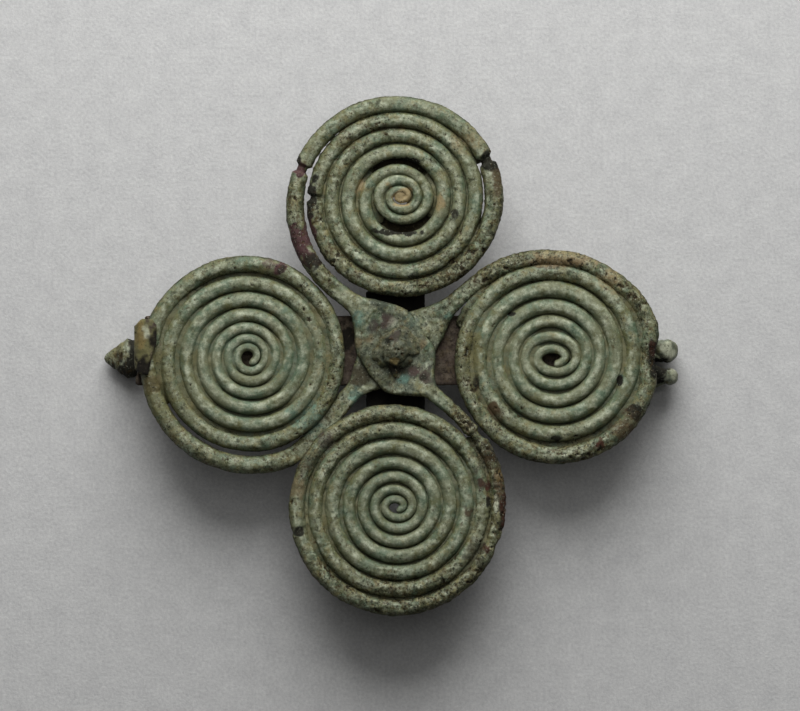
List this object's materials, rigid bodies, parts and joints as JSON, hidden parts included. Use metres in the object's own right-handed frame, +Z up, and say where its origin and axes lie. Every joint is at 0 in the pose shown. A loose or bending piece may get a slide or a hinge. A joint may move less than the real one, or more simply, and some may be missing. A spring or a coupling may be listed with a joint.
{
  "type": "four-spiral fibula brooch",
  "caption": "Old bronze brooch of tapered wires wound into flat spiral discs, riveted on a back strip with a fold, a catch and a sprung pin.",
  "frame": {"origin": "below the middle of the whole object, on the surface that it lies on", "axes": "+Z up, out of the brooch's face; +X along the back strip, from the catch to the pin's spring"},
  "size_m": [0.0892, 0.0804, 0.0138],
  "materials": {
    "upper_wire_bronze": "grey-green patina with green, tan and dark pits",
    "lower_wire_bronze": "grey-green patina with brown stains",
    "rivet_bronze": "worn olive-brown patina",
    "strip_bronze": "brown-purple corroded bronze",
    "plate_bronze": "dark corroded bronze",
    "pin_bronze": "rough corroded bronze"
  },
  "bodies": {
    "root": {"spiral_wire_a": "upper_wire_bronze", "spiral_wire_b": "lower_wire_bronze", "rivet": "rivet_bronze", "rivet_collar": "rivet_bronze", "back_strip": "strip_bronze", "cross_plate": "plate_bronze", "pin": "pin_bronze"}
  },
  "joints": []
}
